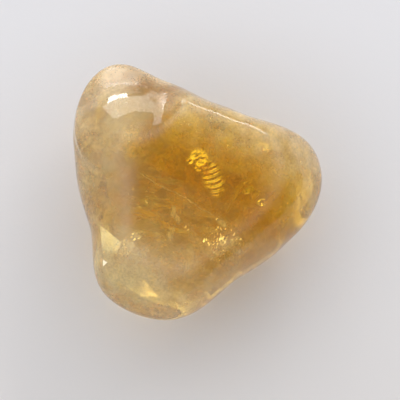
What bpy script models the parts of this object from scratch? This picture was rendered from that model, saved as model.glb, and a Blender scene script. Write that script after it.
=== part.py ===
"""A tumbled piece of heated citrine: one closed stone with a flat, worn patch to rest on.

Run with: blender --background --python part.py
Metres, +Z up. The origin is the middle of the stone's bounding box, at the height of the rest face.
"""

import math

import bmesh
import bpy
import numpy as np
from mathutils import Vector

MM = 0.001

# Driving dimensions, in millimetres and degrees
HEART_HEIGHT = 8.2  # of the point that every reach below is measured from, over the rest face
CROWN_RISE = 12.6  # from the heart up to the top of the round body, before the table is worn across it
KEEL_DROP = 8.6  # from the heart down to the bottom of the round body, before the rest face is worn
BODY_FULLNESS = 2.5  # 2 is an ellipsoid's section, and more is a fuller one
SOFT_EDGE = 9.0  # how crisp the edges of the soft faces are, where more is crisper
CRISP_EDGE = 20.0
REST_SOFTNESS = 0.35  # how far above the rest face its worn edge starts to turn
OUTLINE_WEAR = 4.5  # how far along the outline, in degrees, tumbling has evened it out
GRID = 22  # squares along each side of the cube that the stone is spun from

# The plan outline at the stone's widest level: a knuckle at the upper left, a blunt point at the
# right and a heel at the bottom. Each entry is a direction and the reach from the heart.
OUTLINE = (
    (2, 16.3),
    (18, 15.3),
    (33, 11.9),
    (47, 10.0),
    (62, 9.7),
    (77, 9.9),
    (90, 10.6),
    (101, 12.0),
    (110, 12.9),
    (120, 17.3),
    (131, 18.9),
    (150, 16.8),
    (172, 14.5),
    (196, 13.7),
    (209, 13.9),
    (220, 15.9),
    (232, 19.0),
    (246, 20.7),
    (260, 18.2),
    (276, 14.7),
    (292, 12.6),
    (309, 12.7),
    (327, 13.3),
    (345, 15.0),
)

# Worn faces: what each is, the direction it faces, how steeply it looks up, its reach from the heart
SOFT_FACES = (
    ("slope of the right lobe", 6, 46, 13.7),
    ("slope at the lower right", -46, 48, 12.3),
    ("slope of the heel", -104, 50, 13.8),
    ("undercut of the knuckle", 128, -42, 13.9),
    ("undercut of the right lobe", -6, -44, 13.0),
    ("undercut of the heel", -118, -40, 14.0),
    ("undercut of the long wall", 66, -40, 10.6),
    ("undercut of the left wall", 184, -44, 11.9),
)
CRISP_FACES = (
    ("table", -50, 82, 9.0),
    ("shoulder over the knuckle", 132, 60, 12.1),
    ("shoulder over the left wall", 186, 58, 11.9),
)

# Shallow hollows worn into the surface: direction, how steeply it looks up, width in degrees, depth
HOLLOWS = (
    (84, 30, 26, 0.50),
    (205, 40, 20, 0.25),
    (-70, 60, 24, 0.25),
    (30, -20, 22, 0.30),
    (-150, -15, 20, 0.25),
)


def direction(azimuth, elevation):
    """The unit vector that looks along azimuth, from +X towards +Y, and elevation, both in degrees."""
    a, e = math.radians(azimuth), math.radians(elevation)
    return Vector((math.cos(a) * math.cos(e), math.sin(a) * math.cos(e), math.sin(e)))


def outline_reaches():
    """The outline's reach at each whole degree: straight runs between OUTLINE's entries, worn round."""
    degrees = np.arange(360)
    azimuths, reaches = zip(*OUTLINE)
    sharp = np.interp(degrees, azimuths, reaches, period=360)
    off = (degrees + 180) % 360 - 180
    wear = np.exp(-0.5 * (off / OUTLINE_WEAR) ** 2)
    spread = np.fft.fft(wear / wear.sum())
    return np.real(np.fft.ifft(np.fft.fft(sharp) * spread))


OUTLINE_REACHES = outline_reaches()


def outline_reach(azimuth):
    """The outline's reach at an azimuth in degrees."""
    return float(np.interp(azimuth, np.arange(360), OUTLINE_REACHES, period=360))


def body_reach(way):
    """How far the round body reaches along the unit vector way."""
    level = math.hypot(way.x, way.y)
    reach = outline_reach(math.degrees(math.atan2(way.y, way.x)))
    rise = CROWN_RISE if way.z > 0 else KEEL_DROP
    total = (level / reach) ** BODY_FULLNESS + (abs(way.z) / rise) ** BODY_FULLNESS
    return total ** (-1 / BODY_FULLNESS)


def worn_by(faces, crispness, reach, way):
    """A reach along way, cut down by flat faces whose edges are rounded to crispness."""
    total = reach**-crispness
    for _, azimuth, elevation, distance in faces:
        facing = way.dot(direction(azimuth, elevation))
        if facing > 0:
            total += (facing / distance) ** crispness
    return total ** (-1 / crispness)


def stone_reach(way):
    """How far the worn stone reaches along way: its body, its worn faces and its hollows."""
    reach = worn_by(SOFT_FACES, SOFT_EDGE, body_reach(way), way)
    reach = worn_by(CRISP_FACES, CRISP_EDGE, reach, way)
    for azimuth, elevation, width, depth in HOLLOWS:
        off = math.degrees(way.angle(direction(azimuth, elevation)))
        reach -= depth * math.exp(-((off / width) ** 2))
    return reach


def rested(height):
    """A height over the rest face, with what lay below the face worn up to it and its edge rounded."""
    if height >= REST_SOFTNESS:
        return height
    return max(0.0, height - (REST_SOFTNESS - height) ** 2 / (4 * REST_SOFTNESS))


def spun_cube(mesh):
    """A cube's grid, spread evenly over the ball, and pushed out to the stone's surface."""
    bmesh.ops.create_cube(mesh, size=2)
    bmesh.ops.subdivide_edges(mesh, edges=mesh.edges[:], cuts=GRID - 1, use_grid_fill=True)
    for vertex in mesh.verts:
        way = Vector(math.tan(c * math.pi / 4) for c in vertex.co).normalized()
        point = way * stone_reach(way)
        vertex.co = (point.x, point.y, rested(point.z + HEART_HEIGHT))


def centred(mesh):
    """Moves the stone so that the middle of its plan is at the origin, and turns it to metres."""
    xs = [v.co.x for v in mesh.verts]
    ys = [v.co.y for v in mesh.verts]
    middle = Vector(((min(xs) + max(xs)) / 2, (min(ys) + max(ys)) / 2, 0))
    for vertex in mesh.verts:
        vertex.co = (vertex.co - middle) * MM


def citrine_material():
    material = bpy.data.materials.new("citrine")
    material.use_nodes = True
    shader = material.node_tree.nodes["Principled BSDF"]
    shader.inputs["Base Color"].default_value = (0.62, 0.35, 0.06, 1)
    shader.inputs["Roughness"].default_value = 0.08
    shader.inputs["Metallic"].default_value = 0.0
    shader.inputs["IOR"].default_value = 1.55
    shader.inputs["Transmission Weight"].default_value = 1.0
    return material


def citrine_stone(collection):
    mesh = bmesh.new()
    spun_cube(mesh)
    centred(mesh)
    data = bpy.data.meshes.new("citrine_stone")
    mesh.to_mesh(data)
    mesh.free()
    data.shade_smooth()
    data.materials.append(citrine_material())
    stone = bpy.data.objects.new("citrine_stone", data)
    collection.objects.link(stone)
    return stone


def main():
    for old in list(bpy.data.objects):
        bpy.data.objects.remove(old)
    collection = bpy.data.collections.new("heated_citrine")
    bpy.context.scene.collection.children.link(collection)
    citrine_stone(collection)


main()
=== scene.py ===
"""The looks of a tumbled piece of heated citrine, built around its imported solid.

One fine, see-through stone stands for the solid. Its colour zones, haze, frosted skin and wear come
from named places and noise, and what lies inside it is modelled: a rippled fracture, a healed crack,
a flat crack in the heel, milky veils, cloudy blots and small glints. Lengths are in millimetres unless
a name or a comment says otherwise.
"""

import math

import bmesh
import bpy
import numpy as np
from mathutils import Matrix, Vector, noise
from mathutils.bvhtree import BVHTree


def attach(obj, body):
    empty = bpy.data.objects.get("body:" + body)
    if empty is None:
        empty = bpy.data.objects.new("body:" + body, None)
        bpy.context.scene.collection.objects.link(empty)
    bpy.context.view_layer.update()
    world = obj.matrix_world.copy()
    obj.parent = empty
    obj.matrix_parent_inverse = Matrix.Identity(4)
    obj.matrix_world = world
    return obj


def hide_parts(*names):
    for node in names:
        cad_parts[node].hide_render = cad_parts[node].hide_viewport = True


MM = 0.001
IOR = 1.544  # quartz

# The camera looks down on the stone as the photograph does
CAMERA_ELEVATION = 80.0
CAMERA_DISTANCE = 200.0
CAMERA_LENS = 150.0
CAMERA_TARGET = (0.30, -0.85, 8.0)
PICTURE_MIDDLE = (0.30, -0.68)  # the place that the middle of the picture has in the plan

# Lights: the azimuth and elevation that each lies towards, how wide and tall it looks, how bright it is
# and how far it is turned, with every angle in degrees
WINDOW = (106, 13)
LIGHTS = {
    "window": (*WINDOW, (24, 16.5), 3.0, 0),
    "window_sill": (109, 2.8, (13, 5.6), 14.0, 0),
    "rim_strip": (66, 28.5, (44, 9), 6.0, -30),
}
LIGHT_DISTANCE = 0.6  # in metres
LIGHT_COLOUR = (1.0, 0.985, 0.96)

# The room's brightness is the product of three ramps. Each goes by how squarely a way faces the bright
# side, or straight up: the two values that it runs between, and how bright the room is at each
ROOM_COLOUR = (0.95, 0.96, 1.0, 1)
BRIGHT_SIDE = (145, 45)  # its azimuth and elevation
SIDE_RAMP = (-0.6, 1.0, 0.43, 1.90)
OVERHEAD_RAMP = (0.62, 0.97, 1.30, 0.14)
WALLS_RAMP = (0.30, 0.70, 0.25, 1.0)

# The fine surface
HEART = (-1.0, 1.1, 8.2)  # the point that the surface is spread around
HEART_NUDGES = (0.0, 0.01, 0.02)  # how far a ray's start is moved from it, tried in turn
JUST_INSIDE = 0.01  # how far past the skin a ray goes on
ABOVE_STONE = 40.0  # a height that clears the stone
SQUARES = 126  # along each side of the cube that it is spun from
FACET_WEAR_ROUNDS = 26  # rounds of evening out, which take away the solid's facets
EDGE_WEAR_ROUNDS = 4  # and those that soften the worn dome's edge
REST_WEAR = 0.5  # per cent of the points, the lowest ones, are worn flat underneath
REST_EDGE = (0.2, 1.5)  # the heights between which the soft relief sets in

# The shallow dome worn over the knuckle, which mirrors the window
DOME_MIDDLE = (-9.1, 9.3)  # in plan
DOME_FACING = (110, 57)  # the azimuth and elevation that it faces
DOME_DEPTH = 0.10  # how deep its middle is worn into the solid
DOME_RADIUS = 21.0  # of its curve from the rim up to the table
DOME_SIDE_RADIUS = 16.0  # of its curve sideways, at its middle
DOME_NARROWING = 0.16  # how fast that curve gets tighter outwards
DOME_SIDE_RADII = (4, 60)  # its least and greatest radius
DOME_SPREAD = (4.2, 8.4)  # how far it spreads, and where it has faded out
DOME_SLOPE = (0.55, 0.72)  # how squarely a way from the heart meets it where it sets in, and is full
DOME_CUT = 1.7  # how far it may go into the solid
DOME_FILL = 0.55  # and how far it may stand out
DOME_LIMIT_POWER = 4  # how crisply it meets those two limits

# Layers of noise: the wave length, the height and the seed of each
UNDULATIONS = ((7.0, 0.10, 5), (3.0, 0.035, 5), (1.3, 0.008, 5))
FROST_RELIEF = ((0.9, 0.05, 6), (0.45, 0.03, 6))
GOLD_WAVES = ((3.2, 0.10, 1), (1.4, 0.05, 2))
HAZE_CLOUDS = ((2.6, 0.54, 3), (1.1, 0.36, 4))
RIPPLE_BEND = ((1.4, 0.10, 14),)
RIPPLE_RELIEF = ((1.6, 0.03, 10),)
CRUMPLE = ((0.9, 0.06, 11), (0.35, 0.02, 12))
BLOT_CRUMPLE = ((0.5, 0.10, 31),)
RAGGED_EDGE = ((0.16, 0.25, 8), (0.05, 0.15, 9))  # its wave lengths are shares of the sheet's size
SEED_STEPS = (17.3, 5.1, 9.7)  # how far each seed lies from the last
SUNK = 0.06  # how far the surface sinks as a whole, so that its crests keep within the solid

# Where the quartz is deep gold, in plan: x, y, radius and strength
GOLD_ZONES = (
    (-1.5, 1.6, 5.0, 1.0),
    (4.5, -0.4, 5.6, 0.95),
    (10.3, -3.8, 4.0, 0.9),
    (-4.2, -0.2, 4.4, 1.0),
    (0.5, -5.0, 5.8, 0.80),
    (6.6, -3.6, 3.4, 0.85),
    (-5.5, -3.5, 4.0, 0.60),
    (-3.8, 4.6, 3.2, 0.6),
)
# The healed crack that parts the deep gold from the pale lower left: where it starts and ends in plan
CRACK_START = (-8.5, 3.4)
CRACK_END = (2.2, -2.6)
CRACK_SOFTNESS = 0.5  # half the width of the step in the gold there
CRACK_CRISP_PART = 8  # how far along it the step stays as narrow as that
CRACK_WIDENING = 0.35  # how fast the step widens past that part, and before the start
CRACK_WIDENS_OVER = 8  # and over what length
# Where the pale quartz turns from cream to straw: how far left, and how far down, where less than 0 is up
STRAW_LEFT = (3.0, 9.0)
STRAW_DOWN = (-7.0, -2.0)

# Where the quartz is hazy, in plan: x, y, radius and strength
HAZE_ZONES = (
    (-9.3, 10.1, 5.0, 0.17),
    (-13.8, 7.6, 2.4, 0.25),
    (-0.8, 8.0, 2.2, 0.48),
    (4.8, 6.3, 2.8, 0.54),
    (9.2, 4.9, 2.6, 0.45),
    (12.4, 3.0, 2.6, 0.42),
    (12.8, -2.2, 2.4, 0.24),
    (-4.5, -12.4, 5.4, 0.24),
    (-5.6, -12.2, 1.9, 0.25),
    (-10.4, -9.8, 3.4, 0.38),
    (-12.8, 1.0, 3.0, 0.20),
)
HAZE_EVERYWHERE = 0.04
MOST_HAZE = 0.95
RIM_HAZE = 0.25  # on walls that stand upright
RIM_HAZE_POWER = 1.3
RIM_SHADE_TURN = (0.62, 0.95)  # how upright the walls are where the rim's painted shade sets in, and is full
FROST_CLEARING = 0.65  # how much of the haze frost takes the place of

# Where the skin is frosted rather than polished: x, y, z, radius and strength
FROST_ZONES = (
    (-10.2, 13.2, 11.5, 2.6, 0.9),
    (-7.6, 13.8, 12.0, 2.2, 0.9),
    (-4.2, 12.4, 12.5, 1.8, 0.7),
    (-4.0, 10.0, 15.2, 1.3, 0.7),
    (-10.5, -11.0, 9.5, 1.6, 0.4),
)
# Where iron has stained the skin brown
STAIN_ZONES = (
    (-5.6, 11.2, 13.8, 2.2, 0.9),
    (-3.8, 10.0, 15.0, 1.7, 0.9),
    (-7.2, 12.2, 13.9, 1.5, 0.8),
)

# The stone's skin: its noise (the wave length, the detail and the roughness), the values that most
# noise lies between, what they are spread out to, and how much of the painted rim shade and the frost is
# seen
GRAIN = (0.3, 4.0, 0.7)
MOTTLE = (1.1, 5.0, 0.66)
SKIN_WAVES = (0.8, 3.0)
SKIN_BUMP = (0.06, 0.02)  # its strength and height
MOST_NOISE = (0.3, 0.7)
GOLD_MOTTLE = (-0.2, 0.2)
HAZE_GRAIN = (0.65, 1.35)
FROST_ROUGHNESS = (0.25, 0.6)
POLISHED_ROUGHNESS = 0.01
RIM_SHADE_SHARE = 0.6
FROST_SHARE = 0.75

# Patterns inside the stone: the noise as above, the values between which it is spread out, and what it
# is spread out to where that isn't 0 to 1
FRACTURE_PATCHES = ((0.45, 4.0, 0.6), (0.34, 0.52, 0.1, 0.9))
SPECKS = ((0.5, 4.0, 0.7), (0.56, 0.68))
CLOUDS = ((1.8, 6.0, 0.66), (0.38, 0.62, 0.15))
DEEP_CLOUDS = ((1.8, 5.0, 0.6), (0.42, 0.6))
DEEP_MOTTLE = ((3.0, 4.0, 0.6), (0.42, 0.58))
STREAK_MOTTLE = ((1.8, 3.0), (0.4, 0.6))
BLOT_FLECKS = ((0.35, 4.0, 0.7), (0.36, 0.56, 0.2))
HEALED_SPECKLE = ((0.35, 4.0, 0.7), (0.38, 0.58))
STREAK_SIZE = (4.0, 0.8)  # the length and the width of the streaks
STREAK_SPREAD = (0.46, 0.62)
BLOT_THICKNESS = 0.85
MATT = 0.7  # the roughness of veils and blots

CLEAR_PALE = (1.0, 0.93, 0.60, 1)
CLEAR_GOLD = (1.0, 0.74, 0.07, 1)
MILK_CREAM = (0.91, 0.63, 0.26, 1)
MILK_STRAW = (0.82, 0.65, 0.24, 1)
MILK_GOLD = (0.93, 0.53, 0.02, 1)
# Painted shade: the darker brown that upright walls are mixed towards, for the shade at the stone's edges
RIM_PAINTED_SHADE = (0.46, 0.31, 0.17, 1)
FROST_CREAM = (0.90, 0.72, 0.51, 1)
STAIN_BROWN = (0.50, 0.30, 0.11, 1)
ABSORBED = (0.99, 0.78, 0.0, 1)
ABSORPTION = 37.0  # per metre
VEIL_CREAM = (1.0, 0.80, 0.45, 1)
VEIL_GOLD = (1.0, 0.62, 0.03, 1)
VEIL_DEEP = (0.94, 0.55, 0.02, 1)
VEIL_WHITE = (1.0, 0.88, 0.66, 1)
BLOT_PINK = (1.0, 0.76, 0.53, 1)
BLOT_GOLD = (1.0, 0.74, 0.13, 1)
STREAK_GOLD = (0.97, 0.66, 0.08, 1)
STREAK_STRAW = (0.95, 0.76, 0.28, 1)
FRACTURE_GOLD = (1.0, 0.78, 0.30, 1)
FLASH_CREAM = (1.0, 0.90, 0.66, 1)
CRACK_CREAM = (1.0, 0.90, 0.64, 1)
GLINT_GOLD = (1.0, 0.84, 0.48, 1)

# The paper is painted lighter at the far side and darker and warmer at the near side: painted light and
# painted shade
PAPER_FAR_PAINTED_LIGHT = (0.79, 0.78, 0.785, 1)
PAPER_NEAR_PAINTED_SHADE = (0.75, 0.725, 0.705, 1)
PAPER_SIZE = 1.2  # in metres
PAPER_DROP = 0.02  # below the rest face, so that the two don't share a plane
PAPER_PAINTED_SHADE_REACH = 24.0  # how far up and down from the middle the paper's painted light and painted shade are reached
PAPER_GRAIN = (0.7, 3.0, 0.6)  # its noise, as above
PAPER_BUMP = (0.25, 0.05)  # its strength and height

# Clusters of small glints: where they are seen in plan, their radius, the lowest and highest share of
# the depth there, how many, the largest one's size, how many times longer and narrower they are than
# round ones, the direction that they run and how far they stray from mirroring the window, in degrees
GLINT_CLUSTERS = (
    (-8.6, -6.4, 1.0, 0.86, 0.95, 110, 0.28, 1.4, 40, 8),
    (-7.4, -5.1, 0.5, 0.84, 0.92, 12, 0.36, 1.2, 20, 6),
    (3.2, -6.2, 2.2, 0.82, 0.95, 120, 0.28, 1.8, 60, 8),
    (2.9, -5.5, 0.5, 0.84, 0.93, 14, 0.38, 1.5, 60, 6),
    (4.3, -5.8, 0.4, 0.84, 0.93, 8, 0.36, 1.5, 60, 6),
    (3.1, -6.8, 0.4, 0.84, 0.93, 8, 0.34, 1.5, 60, 6),
    (1.0, -5.7, 0.4, 0.84, 0.93, 8, 0.40, 1.2, 60, 5),
    (-1.3, -3.9, 0.4, 0.84, 0.93, 7, 0.40, 1.3, 70, 5),
    (2.8, -3.4, 0.9, 0.84, 0.92, 12, 0.24, 1.6, 50, 8),
    (-8.2, 7.4, 1.1, 0.80, 0.92, 26, 0.14, 1.2, 0, 10),
    (-1.9, -1.5, 1.2, 0.70, 0.85, 12, 0.24, 3.0, -22, 8),
    (11.7, 3.4, 1.1, 0.80, 0.92, 12, 0.20, 1.4, 10, 8),
    (5.9, 0.8, 0.8, 0.75, 0.85, 14, 0.26, 2.4, 20, 8),
    (8.0, -0.9, 0.8, 0.75, 0.88, 8, 0.30, 2.0, 20, 8),
    (1.1, -0.5, 0.3, 0.78, 0.86, 6, 0.28, 1.6, 10, 3),
    (10.4, -2.6, 1.6, 0.70, 0.90, 24, 0.18, 1.4, 60, 12),
    (-0.5, 8.8, 1.8, 0.80, 0.93, 30, 0.16, 1.4, -20, 12),
    (4.6, 7.0, 2.4, 0.80, 0.93, 36, 0.16, 1.4, -20, 12),
    (-6.5, -0.4, 1.4, 0.75, 0.90, 12, 0.26, 2.4, -20, 8),
    (-3.2, -9.0, 3.6, 0.60, 0.90, 50, 0.15, 1.6, 0, 14),
    (0.0, 0.0, 10.0, 0.50, 0.93, 160, 0.13, 1.6, 30, 16),
)
GLINT_SEED = 7
GLINT_SIZES = (0.3, 1.0)  # the least and greatest draw that a glint's size comes from
GLINT_FEWER_LARGE = 1.5  # the power of that draw, which makes large glints rarer
GLINT_WIDER = 2.5  # how many times further they stray sideways than up and down
GLINT_RUN_STRAY = 14  # how far they stray from their direction, in degrees
FLAKE_CORNERS = (5, 8)  # the fewest, and one more than the most
FLAKE_UNEVENNESS = (0.6, 1.0)  # the least and greatest reach of a flake's corner

# Veils: layers of tiny bubbles and cracks. Each has a share of the depth, how dense it is everywhere
# and the places, as seen in plan, where it is denser: x, y, radius and strength
VEIL_STEP = 0.3  # between the points of a veil's grid
VEIL_LEFT, VEIL_RIGHT = -15.6, 15.7  # between which the grid lies, in plan
VEIL_DOWN, VEIL_UP = -16.5, 16.6
VEIL_WAVES = (2.5, 0.04)  # the wave length and the height of each veil's waves, as a share of the depth
VEIL_LEAST, VEIL_MOST = 0.1, 0.97  # the shares of the depth that a veil keeps between
FIRST_VEIL_SEED = 20
VEILS = {
    "specks": (
        0.95,
        0.03,
        (
            (-9.5, 14.5, 3.0, 1.0),
            (-5.5, 12.5, 2.4, 0.3),
            (-1.0, 9.6, 2.2, 0.9),
            (3.0, 8.4, 2.4, 0.9),
            (7.0, 7.0, 2.4, 0.8),
            (12.0, 4.5, 2.6, 0.6),
            (13.5, 0.0, 2.0, 0.6),
            (-5.0, -12.0, 4.5, 0.55),
            (-9.5, -10.0, 3.0, 0.6),
            (-13.0, 3.0, 1.6, 0.4),
            (-8.0, 7.4, 1.8, 0.7),
            (10.6, -4.0, 2.0, 0.5),
        ),
    ),
    "clouds": (
        0.82,
        0.10,
        (
            (0.0, 9.0, 2.4, 0.8),
            (5.0, 7.6, 2.8, 0.95),
            (9.5, 6.0, 2.6, 0.8),
            (12.4, 4.0, 2.6, 0.9),
            (13.4, -0.5, 2.0, 0.7),
            (-4.4, -11.6, 4.6, 0.65),
            (-6.8, -11.5, 1.8, 0.6),
            (-9.6, -9.8, 3.2, 0.9),
            (-8.2, 5.9, 2.1, 0.85),
            (-13.2, 7.0, 2.6, 0.9),
            (-10.0, 13.0, 2.8, 0.8),
            (-12.8, 2.0, 2.4, 0.7),
            (-12.2, -2.0, 2.0, 0.6),
            (-10.6, -3.2, 1.8, 0.5),
            (10.6, -4.0, 2.4, 0.4),
            (3.6, -6.2, 2.4, 0.8),
            (0.6, -6.8, 2.6, 0.7),
            (-3.2, 4.2, 2.8, 0.5),
        ),
    ),
    "streaks_right": (
        0.76,
        0.04,
        ((6.0, -1.0, 4.5, 0.45), (9.0, 1.0, 3.0, 0.4), (3.6, -6.4, 2.5, 0.75)),
    ),
    "streaks_left": (
        0.70,
        0.04,
        ((-3.0, -5.0, 3.5, 0.7), (1.0, -5.0, 3.0, 0.65), (-6.0, -2.0, 2.5, 0.5), (-4.0, 2.0, 3.0, 0.45)),
    ),
    "deep_clouds": (0.42, 0.30, ((0.0, 0.0, 7.0, 0.4),)),
}
# The directions that the streaks run in, and their paler colour
STREAK_RUNS = {"streaks_right": (58, STREAK_GOLD), "streaks_left": (-14, STREAK_STRAW)}

# Small cloudy blots: where each is seen in plan, its share of the depth, its length and width and the
# direction that it runs in
BLOTS = (
    (-2.9, -2.1, 0.98, 1.6, 0.8, 82),
    (-2.4, -3.0, 0.98, 1.4, 0.7, 100),
    (-3.2, -4.6, 0.98, 2.0, 1.1, 78),
    (-7.0, -4.8, 0.98, 1.6, 1.1, 20),
    (-9.0, -6.9, 0.98, 1.8, 1.3, 60),
    (-8.2, -5.9, 0.98, 1.5, 1.0, -30),
    (3.7, -6.0, 0.97, 2.6, 1.5, 10),
    (4.7, -6.8, 0.97, 2.2, 1.1, -25),
    (2.5, -7.1, 0.97, 2.0, 1.0, 30),
    (2.9, -3.4, 0.97, 1.5, 0.9, -30),
    (6.1, 0.5, 0.97, 1.7, 0.9, 20),
    (7.7, -1.2, 0.97, 1.6, 0.5, -15),
    (-8.0, 7.3, 0.97, 2.4, 1.9, 30),
    (-14.0, 5.2, 0.95, 1.3, 0.4, 50),
    (9.2, 3.0, 0.97, 3.0, 0.35, -58),
)

# Where a flat crack under the shoulder over the heel is seen to flash: its corners in plan
HEEL_FLASH = ((-11.7, -3.7), (-9.1, -5.8), (-9.7, -7.0), (-11.2, -8.6))
HEEL_FLASH_SHARE = 0.93  # of the depth

# Open fractures: where each is seen in plan, its share of the depth, its length and width and the
# direction that it runs in
RIPPLED_FRACTURE = (1.9, 1.9, 0.88, 5.0, 2.7, -72)
BRIGHT_FRACTURE = (0.1, 4.1, 0.90, 3.2, 2.7, -60)
RIGHT_FLASH = (8.0, 5.7, 0.93, 2.2, 1.1, -35)
RIPPLE_LENGTH = 0.64
RIPPLE_HEIGHT = 0.017
RIPPLE_BOW = 0.16  # how far a ripple bows 1 mm away from its middle, growing with the square of that

# The healed crack
HEALED_SHARE = 0.94  # of the depth
HEALED_STRETCH = 1.15  # how much longer it is than from its start to its end, as its ends are ragged
HEALED_WIDTH = 1.5  # how far it goes down
HEALED_TILT = 14  # how steeply it looks up, in degrees
HEALED_WAVES = ((1.1, 0.10), (4.3, 0.04))  # their radians a millimetre, and their height

# How many points the sheets inside the stone have across and along them
FRACTURE_GRID = (40, 120)
BLOT_GRID = (10, 16)
HEALED_GRID = (20, 80)
EDGE_SOFTNESS = 0.45  # of a sheet's edge, as a share of its half width


def direction(azimuth, elevation):
    """The unit vector that looks along azimuth, from +X towards +Y, and elevation, both in degrees."""
    a, e = math.radians(azimuth), math.radians(elevation)
    return Vector((math.cos(a) * math.cos(e), math.sin(a) * math.cos(e), math.sin(e)))


def smooth_step(value, start, end):
    """0 before start, 1 after end and a smooth rise between them."""
    t = np.clip((value - start) / (end - start), 0, 1)
    return t * t * (3 - 2 * t)


def ray_tree(data):
    """A mesh, for rays, in millimetres."""
    points = [v.co / MM for v in data.vertices]
    return BVHTree.FromPolygons(points, [p.vertices[:] for p in data.polygons])


def ball_grid(squares):
    """Unit vectors spread evenly over a ball, and the four-sided faces between them."""
    mesh = bmesh.new()
    bmesh.ops.create_cube(mesh, size=2)
    bmesh.ops.subdivide_edges(mesh, edges=mesh.edges[:], cuts=squares - 1, use_grid_fill=True)
    mesh.verts.index_update()
    places = np.array([v.co for v in mesh.verts])
    faces = np.array([[v.index for v in f.verts] for f in mesh.faces])
    mesh.free()
    ways = np.tan(places * math.pi / 4)
    return ways / np.linalg.norm(ways, axis=1)[:, None], faces


def edge_ends(faces):
    """The two ends of every edge of a grid of four-sided faces, in both orders."""
    pairs = np.concatenate([faces[:, [i, (i + 1) % 4]] for i in range(4)])
    pairs = np.unique(np.sort(pairs, axis=1), axis=0)
    return np.concatenate([pairs[:, 0], pairs[:, 1]]), np.concatenate([pairs[:, 1], pairs[:, 0]])


def evened(points, ends, rounds):
    """Points moved towards the middle of their neighbours, round after round."""
    near, far = ends
    shares = np.bincount(near, minlength=len(points))
    for _ in range(rounds):
        middle = np.stack(
            [np.bincount(near, points[far, i], len(points)) / shares for i in range(3)], axis=1
        )
        points = points + 0.5 * (middle - points)
    return points


def reached(surface, way):
    """Where a ray from the heart leaves the solid. A ray that slips between two facets is cast again."""
    for nudge in HEART_NUDGES:
        hit = surface.ray_cast(Vector(HEART) + Vector((nudge, nudge, -nudge)), way)[0]
        if hit:
            return hit
    raise ValueError(f"no surface towards {tuple(way)}")


def worn_dome(points, surface):
    """Points near the knuckle, moved onto its shallow dome along their way from the heart."""
    middle = surface.ray_cast(Vector((*DOME_MIDDLE, ABOVE_STONE)), Vector((0, 0, -1)))[0]
    facing = np.array(direction(*DOME_FACING))
    side = np.cross((0, 0, 1), facing)
    side /= np.linalg.norm(side)
    offs = points - (np.array(middle) - DOME_DEPTH * facing)
    height, across = offs @ facing, offs @ side
    out = offs @ np.cross(side, facing)
    side_radius = np.clip(DOME_SIDE_RADIUS * np.exp(-DOME_NARROWING * out), *DOME_SIDE_RADII)
    fall = out**2 / (2 * DOME_RADIUS) + across**2 / (2 * side_radius)
    ways = points - np.array(HEART)
    ways /= np.linalg.norm(ways, axis=1)[:, None]
    slope = ways @ facing
    near = smooth_step(slope, *DOME_SLOPE) * (1 - smooth_step(np.hypot(out, across), *DOME_SPREAD))
    move = near * (height + fall) / np.maximum(slope, DOME_SLOPE[0])
    limit = np.where(move > 0, DOME_CUT, DOME_FILL)
    limited = move / (1 + (move / limit) ** DOME_LIMIT_POWER) ** (1 / DOME_LIMIT_POWER)
    return points - ways * limited[:, None]


def noise_at(points, length, seed):
    """Smooth noise from -1 to 1 at points in millimetres, whose waves are about length apart."""
    shift = Vector([seed * step for step in SEED_STEPS])
    return np.array([noise.noise(Vector(p) / length + shift) for p in points])


def layers_at(points, layers):
    """The sum of layers of noise at points."""
    return sum(height * noise_at(points, length, seed) for length, height, seed in layers)


def zone(points, places):
    """How far each point belongs to any of some places: 1 in the middle of a strong one."""
    outside = np.ones(len(points))
    for *middle, radius, strength in places:
        away = np.linalg.norm(points[:, : len(middle)] - np.array(middle), axis=1)
        outside *= 1 - strength * np.exp(-((away / radius) ** 2))
    return 1 - outside


def across_crack(points):
    """Distance from the crack's plane, more than 0 on the side of the deep gold, and along it."""
    start, end = np.array(CRACK_START), np.array(CRACK_END)
    along = (end - start) / np.linalg.norm(end - start)
    ways = points[:, :2] - start
    return ways @ np.array((-along[1], along[0])), ways @ along


def gold_at(points):
    """How deep the gold is, with waves in its edge and a step at the healed crack."""
    over, along = across_crack(points)
    before = np.clip(-along, 0, CRACK_WIDENS_OVER)
    past = np.clip(along - CRACK_CRISP_PART, 0, CRACK_WIDENS_OVER)
    softness = CRACK_SOFTNESS + CRACK_WIDENING * (past + before)
    side = smooth_step(over / softness, -1, 1)
    return np.clip(zone(points, GOLD_ZONES) * (1 + side) / 2 + layers_at(points, GOLD_WAVES), 0, 1)


def haze_at(points, normals, frost):
    """How milky the quartz is: most in its lobes and on upright walls, and patchy everywhere."""
    clear = (1 - zone(points, HAZE_ZONES)) * (1 - HAZE_EVERYWHERE) * (1 - FROST_CLEARING * frost)
    clear *= 1 - RIM_HAZE * (1 - np.abs(normals[:, 2])) ** RIM_HAZE_POWER
    return np.clip((1 - clear) * (1 + layers_at(points, HAZE_CLOUDS)), 0, MOST_HAZE)


def fine_stone(node):
    """The solid's surface on a fine grid: facets worn off, the dome and soft relief put on."""
    surface = ray_tree(node.data)
    ways, faces = ball_grid(SQUARES)
    ends = edge_ends(faces)
    hits = [reached(surface, Vector(way)) for way in ways]
    points = evened(np.array(hits), ends, FACET_WEAR_ROUNDS)
    points = evened(worn_dome(points, surface), ends, EDGE_WEAR_ROUNDS)
    frost = zone(points, FROST_ZONES)
    lift = layers_at(points, UNDULATIONS) + frost * layers_at(points, FROST_RELIEF)
    lift = (lift - SUNK) * smooth_step(points[:, 2], *REST_EDGE)
    points = points + ways * lift[:, None]
    points[:, 2] = np.maximum(points[:, 2] - np.percentile(points[:, 2], REST_WEAR), 0)
    return points, faces, frost


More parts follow.
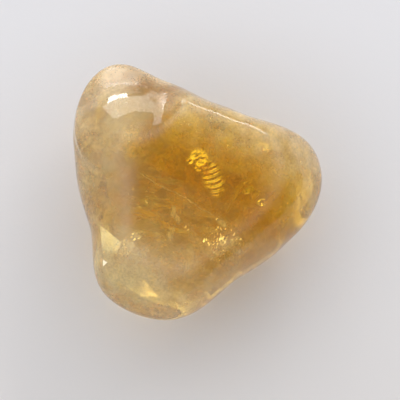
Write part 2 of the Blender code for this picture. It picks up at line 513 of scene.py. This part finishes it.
def new_mesh_object(name, points, faces, material):
    """A shaded-smooth mesh object from points in millimetres."""
    data = bpy.data.meshes.new(name)
    data.from_pydata((np.asarray(points) * MM).tolist(), [], [list(face) for face in faces])
    data.update()
    data.shade_smooth()
    data.materials.append(material)
    thing = bpy.data.objects.new(name, data)
    bpy.context.scene.collection.objects.link(thing)
    return thing


def put_attribute(thing, name, values):
    """A number for each vertex, for the materials to read."""
    layer = thing.data.attributes.new(name, "FLOAT", "POINT")
    layer.data.foreach_set("value", np.asarray(values, np.float32))


class Nodes:
    """A short way to write a material's nodes."""

    def __init__(self, name):
        self.material = bpy.data.materials.new(name)
        self.material.use_nodes = True
        self.tree = self.material.node_tree
        self.shader = self.tree.nodes["Principled BSDF"]
        self.output = self.tree.nodes["Material Output"]

    def add(self, kind, settings=None, **inputs):
        """A node of a kind, with its settings and inputs: an input is a value or another's output."""
        made = self.tree.nodes.new(kind)
        for key, value in (settings or {}).items():
            setattr(made, key, value)
        for key, value in inputs.items():
            self.set(made, key.replace("_", " "), value)
        return made

    def set(self, made, name, value):
        place = made.inputs[int(name)] if name.isdigit() else made.inputs[name]
        if isinstance(value, bpy.types.NodeSocket):
            self.tree.links.new(value, place)
        else:
            place.default_value = value

    def shade(self, **inputs):
        """Sets the shader's own inputs."""
        for key, value in inputs.items():
            self.set(self.shader, key.replace("_", " "), value)

    def attribute(self, name):
        return self.add("ShaderNodeAttribute", {"attribute_name": name}).outputs["Fac"]

    def place(self):
        """The point on the stone, in metres in its own frame."""
        return self.add("ShaderNodeTexCoord").outputs["Object"]

    def noise(self, length, detail=2.0, roughness=0.5):
        """Noise from 0 to 1 whose waves are about length apart, in millimetres."""
        made = self.add(
            "ShaderNodeTexNoise",
            Scale=1 / (length * MM),
            Detail=detail,
            Roughness=roughness,
            Vector=self.place(),
        )
        return made.outputs["Fac"]

    def streaks(self, azimuth, length, width):
        """Noise from 0 to 1 drawn out along azimuth, in millimetres."""
        turned = self.add(
            "ShaderNodeMapping",
            {"vector_type": "TEXTURE"},
            Vector=self.place(),
            Rotation=(0, 0, math.radians(azimuth)),
            Scale=(length * MM, width * MM, width * MM),
        )
        made = self.add("ShaderNodeTexNoise", Vector=turned.outputs[0], Scale=1.0, Detail=2.0)
        return made.outputs["Fac"]

    def math(self, operation, first, second=0.0):
        made = self.add("ShaderNodeMath", {"operation": operation})
        self.set(made, "0", first)
        self.set(made, "1", second)
        return made.outputs[0]

    def product(self, first, *others):
        for other in others:
            first = self.math("MULTIPLY", first, other)
        return first

    def spread(self, value, low, high, start=0.0, end=1.0):
        """A value from low to high, spread out to start to end and held there."""
        made = self.add("ShaderNodeMapRange", {"clamp": True}, Value=value)
        for name, number in (("From Min", low), ("From Max", high), ("To Min", start), ("To Max", end)):
            self.set(made, name, number)
        return made.outputs["Result"]

    def pattern(self, waves, spread):
        """Noise of some waves, spread out."""
        return self.spread(self.noise(*waves), *spread)

    def mix(self, share, first, second):
        made = self.add("ShaderNodeMix", {"data_type": "RGBA"})
        for index, value in ((0, share), (6, first), (7, second)):
            self.set(made, str(index), value)
        return made.outputs[2]

    def bump(self, strength, distance, height):
        made = self.add("ShaderNodeBump", Strength=strength, Distance=distance * MM, Height=height)
        self.shade(Normal=made.outputs["Normal"])


def citrine_material():
    nodes = Nodes("citrine")
    gold, haze, frost, straw, stain, rim_shade = (
        nodes.attribute(name) for name in ("gold", "haze", "frost", "straw", "stain", "rim_shade")
    )
    grain = nodes.noise(*GRAIN)
    mottle = nodes.noise(*MOTTLE)
    gold = nodes.math("ADD", gold, nodes.spread(mottle, *MOST_NOISE, *GOLD_MOTTLE))
    milky = nodes.product(haze, nodes.spread(grain, *MOST_NOISE, *HAZE_GRAIN))
    clear = nodes.mix(gold, CLEAR_PALE, CLEAR_GOLD)
    milk = nodes.mix(gold, nodes.mix(straw, MILK_CREAM, MILK_STRAW), MILK_GOLD)
    colour = nodes.mix(milky, clear, milk)
    # Painted shade: upright walls are darkened towards brown
    colour = nodes.mix(nodes.product(rim_shade, RIM_SHADE_SHARE), colour, RIM_PAINTED_SHADE)
    colour = nodes.mix(nodes.product(frost, FROST_SHARE), colour, FROST_CREAM)
    nodes.shade(Base_Color=nodes.mix(stain, colour, STAIN_BROWN))
    nodes.shade(Transmission_Weight=nodes.math("SUBTRACT", 1.0, milky))
    worn = nodes.product(frost, nodes.spread(grain, *MOST_NOISE, *FROST_ROUGHNESS))
    nodes.shade(Roughness=nodes.math("ADD", worn, POLISHED_ROUGHNESS), IOR=IOR)
    nodes.bump(*SKIN_BUMP, nodes.noise(*SKIN_WAVES))
    absorption = nodes.add("ShaderNodeVolumeAbsorption", Color=ABSORBED, Density=ABSORPTION)
    nodes.set(nodes.output, "Volume", absorption.outputs["Volume"])
    return nodes.material


def inside_piece(piece):
    """What lies inside the stone moves with it."""
    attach(piece, "root")
    return piece


def build_stone(frame):
    points, faces, frost = fine_stone(frame["nodes"]["citrine_stone"])
    stone = new_mesh_object("citrine", points, faces.tolist(), citrine_material())
    normals = np.array([v.normal for v in stone.data.vertices])
    put_attribute(stone, "gold", gold_at(points))
    put_attribute(stone, "haze", haze_at(points, normals, frost))
    put_attribute(stone, "frost", frost)
    straw = smooth_step(-points[:, 0], *STRAW_LEFT) * smooth_step(-points[:, 1], *STRAW_DOWN)
    put_attribute(stone, "straw", straw)
    put_attribute(stone, "stain", zone(points, STAIN_ZONES))
    # Where the rim's painted shade lies: on walls that stand upright
    put_attribute(stone, "rim_shade", smooth_step(1 - np.abs(normals[:, 2]), *RIM_SHADE_TURN))
    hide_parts("citrine_stone")
    return inside_piece(stone)


def refracted(way, normal):
    """The way that a ray of light takes on inside the quartz, past a face with this normal."""
    facing = -way.dot(normal)
    inner = math.sqrt(1 - (1 - facing**2) / IOR**2)
    return (way / IOR + normal * (facing / IOR - inner)).normalized()


class Sight:
    """What the camera sees at a place of the plan: its ray through the stone, bent where it enters."""

    def __init__(self, surface, x, y):
        back = direction(-90, CAMERA_ELEVATION)
        eye = Vector(CAMERA_TARGET) + back * CAMERA_DISTANCE
        up = back.cross(Vector((1, 0, 0)))
        shown = Vector(CAMERA_TARGET) + Vector((x - PICTURE_MIDDLE[0], 0, 0)) + up * (y - PICTURE_MIDDLE[1])
        way = (shown - eye).normalized()
        self.top, self.normal, _, _ = surface.ray_cast(eye, way)
        self.found = self.top is not None
        if self.found:
            self.way = refracted(way, self.normal)
            self.bottom = surface.ray_cast(self.top + self.way * JUST_INSIDE, self.way)[0]
            self.found = self.bottom is not None

    def at(self, share):
        """The point that is share of the way up along the ray, from its bottom."""
        return self.bottom.lerp(self.top, share)

    def mirroring(self, azimuth, elevation):
        """How a small mirror in there faces to show what lies towards azimuth and elevation outside."""
        light = -refracted(-direction(azimuth, elevation), self.normal)
        return (light - self.way).normalized()


def grid_faces(rows, columns):
    """The four-sided faces of a grid of points that are listed row after row."""
    return [
        (r * columns + c, r * columns + c + 1, (r + 1) * columns + c + 1, (r + 1) * columns + c)
        for r in range(rows - 1)
        for c in range(columns - 1)
    ]


def sheet(name, middle, length, width, azimuth, facing, grid, crinkle, material):
    """A crinkled sheet with ragged edges: its length runs near azimuth, and it faces along facing.
    crinkle is a function of places across the sheet, in millimetres, that gives their lift."""
    rows, columns = grid
    up = np.array(facing)
    along = np.array(direction(azimuth, 0))
    along = along - (along @ up) * up
    along /= np.linalg.norm(along)
    aside = np.cross(up, along)
    u, v = np.meshgrid(np.linspace(-1, 1, columns), np.linspace(-1, 1, rows))
    u, v = u.ravel(), v.ravel()
    flat = np.stack([u * length / 2, v * width / 2, 0 * u], axis=1)
    points = np.array(middle) + flat[:, :1] * along + flat[:, 1:2] * aside + crinkle(flat)[:, None] * up
    piece = new_mesh_object(name, points, grid_faces(rows, columns), material)
    size = length + width
    ragged = sum(height * noise_at(points, share * size, seed) for share, height, seed in RAGGED_EDGE)
    put_attribute(piece, "edge", smooth_step(1 - np.hypot(u, v) + ragged, 0, EDGE_SOFTNESS))
    put_attribute(piece, "gold", gold_at(points))
    return inside_piece(piece)


def fracture_material():
    """An open crack mirrors the light that meets it, gold because it lies deep in the stone."""
    nodes = Nodes("open_fracture")
    nodes.shade(Base_Color=FRACTURE_GOLD, Metallic=1.0, Roughness=0.16)
    nodes.shade(Alpha=nodes.product(nodes.attribute("edge"), nodes.pattern(*FRACTURE_PATCHES)))
    return nodes.material


def build_fractures(surface):
    """The rippled crack under the table, the bright patch at its head and the flash in the right lobe."""
    material = fracture_material()

    def ripples(flat):
        bend = flat[:, 0] + RIPPLE_BOW * flat[:, 1] ** 2 + layers_at(flat, RIPPLE_BEND)
        return RIPPLE_HEIGHT * np.sin(bend * 2 * math.pi / RIPPLE_LENGTH) + layers_at(flat, RIPPLE_RELIEF)

    def crumple(flat):
        return layers_at(flat, CRUMPLE)

    for name, place, crinkle in (
        ("rippled_fracture", RIPPLED_FRACTURE, ripples),
        ("bright_fracture", BRIGHT_FRACTURE, crumple),
        ("right_flash", RIGHT_FLASH, crumple),
    ):
        x, y, share, length, width, azimuth = place
        sight = Sight(surface, x, y)
        facing = sight.mirroring(*WINDOW)
        sheet(name, sight.at(share), length, width, azimuth, facing, FRACTURE_GRID, crinkle, material)


def veil_material(name):
    """Tiny bubbles or cracks in a veil: specks, clouds or streaks, see-through in between."""
    nodes = Nodes(name)
    gold = nodes.attribute("gold")
    if name == "specks":
        colour = VEIL_WHITE
        pattern = nodes.pattern(*SPECKS)
    elif name in STREAK_RUNS:
        azimuth, paler = STREAK_RUNS[name]
        colour = nodes.mix(nodes.pattern(*STREAK_MOTTLE), VEIL_GOLD, paler)
        pattern = nodes.spread(nodes.streaks(azimuth, *STREAK_SIZE), *STREAK_SPREAD)
    elif name == "clouds":
        colour = nodes.mix(gold, VEIL_CREAM, VEIL_GOLD)
        pattern = nodes.pattern(*CLOUDS)
    else:
        colour = nodes.mix(nodes.pattern(*DEEP_MOTTLE), VEIL_DEEP, VEIL_GOLD)
        pattern = nodes.pattern(*DEEP_CLOUDS)
    nodes.shade(Base_Color=colour, Roughness=MATT)
    nodes.shade(Alpha=nodes.product(pattern, nodes.attribute("thickness")))
    return nodes.material


def build_veils(surface):
    """Layers that follow the stone's form inside it, each at its own share of the depth."""
    xs, ys = np.arange(VEIL_LEFT, VEIL_RIGHT, VEIL_STEP), np.arange(VEIL_DOWN, VEIL_UP, VEIL_STEP)
    wave_length, wave_height = VEIL_WAVES
    sights = [Sight(surface, x, y) for y in ys for x in xs]
    index = np.cumsum([sight.found for sight in sights]) - 1
    faces = [
        tuple(int(index[corner]) for corner in face)
        for face in grid_faces(len(ys), len(xs))
        if all(sights[corner].found for corner in face)
    ]
    plan = np.array([(x, y, 0) for y in ys for x in xs])[[sight.found for sight in sights]]
    sights = [sight for sight in sights if sight.found]
    for number, (name, (share, everywhere, places)) in enumerate(VEILS.items()):
        waves = wave_height * noise_at(plan, wave_length, FIRST_VEIL_SEED + number)
        shares = np.clip(share + waves, VEIL_LEAST, VEIL_MOST)
        points = np.array([sight.at(part) for sight, part in zip(sights, shares)])
        veil = new_mesh_object(f"veil_of_{name}", points, faces, veil_material(name))
        put_attribute(veil, "thickness", 1 - (1 - everywhere) * (1 - zone(plan, places)))
        put_attribute(veil, "gold", gold_at(points))
        inside_piece(veil)


def build_blots(surface):
    """Small, whitish, crumpled clouds with ragged edges."""
    nodes = Nodes("blots")
    flecks = nodes.pattern(*BLOT_FLECKS)
    nodes.shade(Base_Color=nodes.mix(nodes.attribute("gold"), BLOT_PINK, BLOT_GOLD), Roughness=MATT)
    nodes.shade(Alpha=nodes.product(nodes.attribute("edge"), flecks, BLOT_THICKNESS))

    def crumple(flat):
        return layers_at(flat, BLOT_CRUMPLE)

    for number, (x, y, share, length, width, azimuth) in enumerate(BLOTS):
        sight = Sight(surface, x, y)
        middle, facing = sight.at(share), -sight.way
        sheet(f"blot_{number}", middle, length, width, azimuth, facing, BLOT_GRID, crumple, nodes.material)


def build_heel_flash(surface):
    """A flat crack that shows the window, in cream."""
    nodes = Nodes("heel_flash")
    nodes.shade(Base_Color=FLASH_CREAM, Metallic=1.0, Roughness=0.2, Alpha=0.6)
    sights = [Sight(surface, x, y) for x, y in HEEL_FLASH]
    middle = Sight(surface, *np.mean(HEEL_FLASH, axis=0))
    facing, centre = middle.mirroring(*WINDOW), middle.at(HEEL_FLASH_SHARE)
    ring = []
    for sight in sights:
        reach = (centre - sight.top).dot(facing) / sight.way.dot(facing)
        ring.append(sight.top + sight.way * reach)
    inside_piece(new_mesh_object("heel_flash", np.array(ring), [range(len(ring))], nodes.material))


def build_healed_crack(surface):
    """A steep, frosty plane, seen nearly edge-on from above as a thin pale line."""
    start, end = np.array(CRACK_START), np.array(CRACK_END)
    length = np.linalg.norm(end - start)
    azimuth = math.degrees(math.atan2(end[1] - start[1], end[0] - start[0]))

    def waves(flat):
        return sum(height * np.sin(flat[:, 0] * turn) for turn, height in HEALED_WAVES)

    nodes = Nodes("healed_crack")
    nodes.shade(Base_Color=CRACK_CREAM, Roughness=0.35)
    nodes.shade(Alpha=nodes.product(nodes.attribute("edge"), nodes.pattern(*HEALED_SPECKLE)))
    middle = Sight(surface, *((start + end) / 2)).at(HEALED_SHARE)
    facing = direction(azimuth + 90, HEALED_TILT)
    stretched = length * HEALED_STRETCH
    grid, material = HEALED_GRID, nodes.material
    sheet("healed_crack", middle, stretched, HEALED_WIDTH, azimuth, facing, grid, waves, material)


def glint_material():
    nodes = Nodes("glints")
    nodes.shade(Base_Color=GLINT_GOLD, Metallic=1.0, Roughness=0.15)
    return nodes.material


def flake(middle, facing, azimuth, length, width, chance):
    """The corners of a small, uneven, flat flake whose length runs near azimuth."""
    count = chance.integers(*FLAKE_CORNERS)
    along = facing.cross(direction(azimuth + 90, 0)).normalized()
    aside = facing.cross(along)
    return [
        middle
        + along * (length * chance.uniform(*FLAKE_UNEVENNESS) * math.cos(2 * math.pi * i / count))
        + aside * (width * chance.uniform(*FLAKE_UNEVENNESS) * math.sin(2 * math.pi * i / count))
        for i in range(count)
    ]


def build_glints(surface):
    """Small flat cracks that mirror the window, or what lies beside it."""
    chance = np.random.default_rng(GLINT_SEED)
    points, faces = [], []
    for x, y, radius, low, high, count, size, stretch, azimuth, stray in GLINT_CLUSTERS:
        for _ in range(count):
            turn, far = chance.uniform(0, 2 * math.pi), radius * math.sqrt(chance.uniform())
            sight = Sight(surface, x + far * math.cos(turn), y + far * math.sin(turn))
            half = 0.5 * size * chance.uniform(*GLINT_SIZES) ** GLINT_FEWER_LARGE
            aim_azimuth = WINDOW[0] + GLINT_WIDER * chance.normal(0, stray)
            aim_elevation = max(0, WINDOW[1] + chance.normal(0, stray))
            share, run = chance.uniform(low, high), azimuth + chance.normal(0, GLINT_RUN_STRAY)
            if sight.found:
                middle, facing = sight.at(share), sight.mirroring(aim_azimuth, aim_elevation)
                ring = flake(middle, facing, run, half * stretch, half / stretch, chance)
                faces.append(range(len(points), len(points) + len(ring)))
                points.extend(ring)
    inside_piece(new_mesh_object("glints", np.array(points), faces, glint_material()))


def paper_material():
    nodes = Nodes("paper")
    up = nodes.add("ShaderNodeSeparateXYZ", Vector=nodes.place()).outputs["Y"]
    # Painted shade: the paper darkens and warms towards the near side, as if less light fell there
    shade = nodes.spread(up, -PAPER_PAINTED_SHADE_REACH * MM, PAPER_PAINTED_SHADE_REACH * MM)
    nodes.shade(Base_Color=nodes.mix(shade, PAPER_NEAR_PAINTED_SHADE, PAPER_FAR_PAINTED_LIGHT), Roughness=0.9, Specular_IOR_Level=0.2)
    nodes.bump(*PAPER_BUMP, nodes.noise(*PAPER_GRAIN))
    return nodes.material


def build_floor():
    bpy.ops.mesh.primitive_plane_add(size=PAPER_SIZE, location=(0, 0, -PAPER_DROP * MM))
    floor = bpy.context.object
    floor.name = "paper_floor"
    floor.data.materials.append(paper_material())


def area_light(name, azimuth, elevation, size, radiance, spin):
    """A soft rectangle of light that faces the stone: size is its width and height in degrees."""
    width, height = (2 * LIGHT_DISTANCE * math.tan(math.radians(angle) / 2) for angle in size)
    data = bpy.data.lights.new(name, "AREA")
    data.shape = "RECTANGLE"
    data.size, data.size_y = width, height
    data.energy = radiance * math.pi * width * height
    data.color = LIGHT_COLOUR
    light = bpy.data.objects.new(name, data)
    away = direction(azimuth, elevation)
    light.location = away * LIGHT_DISTANCE
    light.rotation_euler = away.to_track_quat("Z", "Y").to_euler()
    light.rotation_euler.rotate_axis("Z", math.radians(spin))
    bpy.context.scene.collection.objects.link(light)


def build_world():
    """A pale room, brightest towards the upper left of the picture, dim overhead and along its walls."""
    world = bpy.data.worlds.new("studio")
    world.use_nodes = True
    tree = world.node_tree
    background = tree.nodes["Background"]
    background.inputs["Color"].default_value = ROOM_COLOUR
    place = tree.nodes.new("ShaderNodeTexCoord").outputs["Generated"]

    def ramp(value, numbers):
        made = tree.nodes.new("ShaderNodeMapRange")
        tree.links.new(value, made.inputs["Value"])
        for name, number in zip(("From Min", "From Max", "To Min", "To Max"), numbers):
            made.inputs[name].default_value = number
        return made.outputs["Result"]

    def towards(way):
        made = tree.nodes.new("ShaderNodeVectorMath")
        made.operation = "DOT_PRODUCT"
        tree.links.new(place, made.inputs[0])
        made.inputs[1].default_value = way
        return made.outputs["Value"]

    def product(first, second):
        made = tree.nodes.new("ShaderNodeMath")
        made.operation = "MULTIPLY"
        tree.links.new(first, made.inputs[0])
        tree.links.new(second, made.inputs[1])
        return made.outputs[0]

    overhead = ramp(towards((0, 0, 1)), OVERHEAD_RAMP)
    walls = ramp(towards((0, 0, 1)), WALLS_RAMP)
    side = ramp(towards(direction(*BRIGHT_SIDE)), SIDE_RAMP)
    strength = product(product(overhead, walls), side)
    tree.links.new(strength, background.inputs["Strength"])
    bpy.context.scene.world = world


def build_light():
    for name, light in LIGHTS.items():
        area_light(name, *light)


def build_camera():
    data = bpy.data.cameras.new("camera")
    data.lens = CAMERA_LENS
    data.clip_start = 0.01
    camera = bpy.data.objects.new("camera", data)
    back = direction(-90, CAMERA_ELEVATION)
    camera.location = (Vector(CAMERA_TARGET) + back * CAMERA_DISTANCE) * MM
    camera.rotation_euler = back.to_track_quat("Z", "Y").to_euler()
    bpy.context.scene.collection.objects.link(camera)
    bpy.context.scene.camera = camera


def set_render():
    scene = bpy.context.scene
    scene.view_settings.view_transform = "Standard"
    scene.cycles.max_bounces = 24
    scene.cycles.transmission_bounces = 24
    scene.cycles.glossy_bounces = 12
    scene.cycles.diffuse_bounces = 5
    scene.cycles.transparent_max_bounces = 24
    scene.cycles.caustics_refractive = True
    scene.cycles.caustics_reflective = True
    scene.cycles.blur_glossy = 0.3
    scene.cycles.sample_clamp_indirect = 6.0


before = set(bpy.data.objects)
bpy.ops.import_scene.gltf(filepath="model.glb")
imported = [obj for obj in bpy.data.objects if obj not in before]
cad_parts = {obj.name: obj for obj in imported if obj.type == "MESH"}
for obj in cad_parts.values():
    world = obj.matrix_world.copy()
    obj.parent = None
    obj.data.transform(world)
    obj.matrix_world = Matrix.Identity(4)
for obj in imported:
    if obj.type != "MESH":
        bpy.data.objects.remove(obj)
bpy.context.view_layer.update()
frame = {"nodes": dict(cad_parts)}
build_camera()
build_floor()
build_world()
build_light()
stone_surface = ray_tree(build_stone(frame).data)
build_fractures(stone_surface)
build_veils(stone_surface)
build_blots(stone_surface)
build_heel_flash(stone_surface)
build_healed_crack(stone_surface)
build_glints(stone_surface)
set_render()
